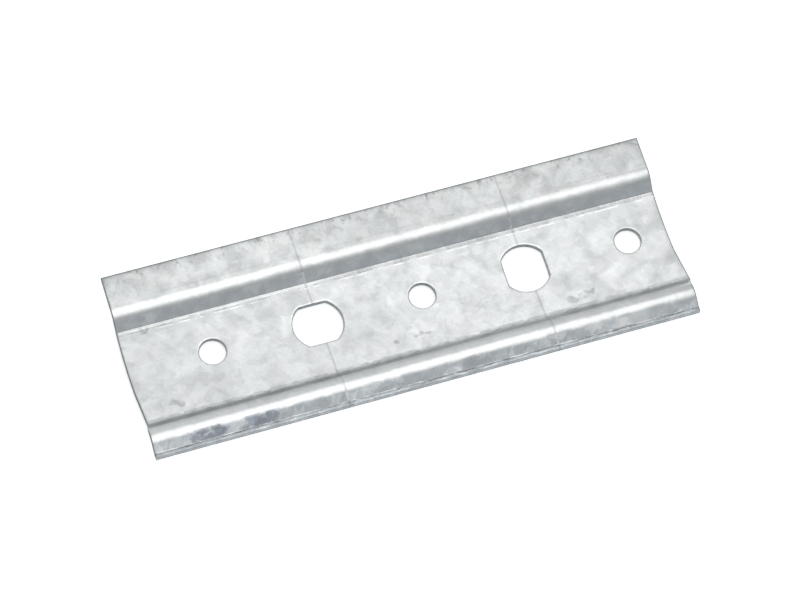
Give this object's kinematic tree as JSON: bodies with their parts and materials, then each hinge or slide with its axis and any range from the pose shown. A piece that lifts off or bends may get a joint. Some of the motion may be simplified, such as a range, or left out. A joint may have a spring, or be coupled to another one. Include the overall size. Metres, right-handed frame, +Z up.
{
  "type": "mounting strip",
  "caption": "Formed galvanised mounting strip: flat punched plate with a wide raised flange along one side and a rounded ridge with a lip along the other, for screwing down",
  "frame": {"origin": "on the axis of the middle screw hole, at the underside of the plate, which is the face the strip rests on", "axes": "+X along the strip towards its short end, +Y across it towards the wide flange, +Z up through the plate"},
  "size_m": [0.1311, 0.0449, 0.0045],
  "materials": {
    "galvanised_sheet": "hot-dip galvanised, soft spangle, bare cut edges"
  },
  "bodies": {
    "root": {"mounting_strip": "galvanised_sheet"}
  },
  "joints": []
}
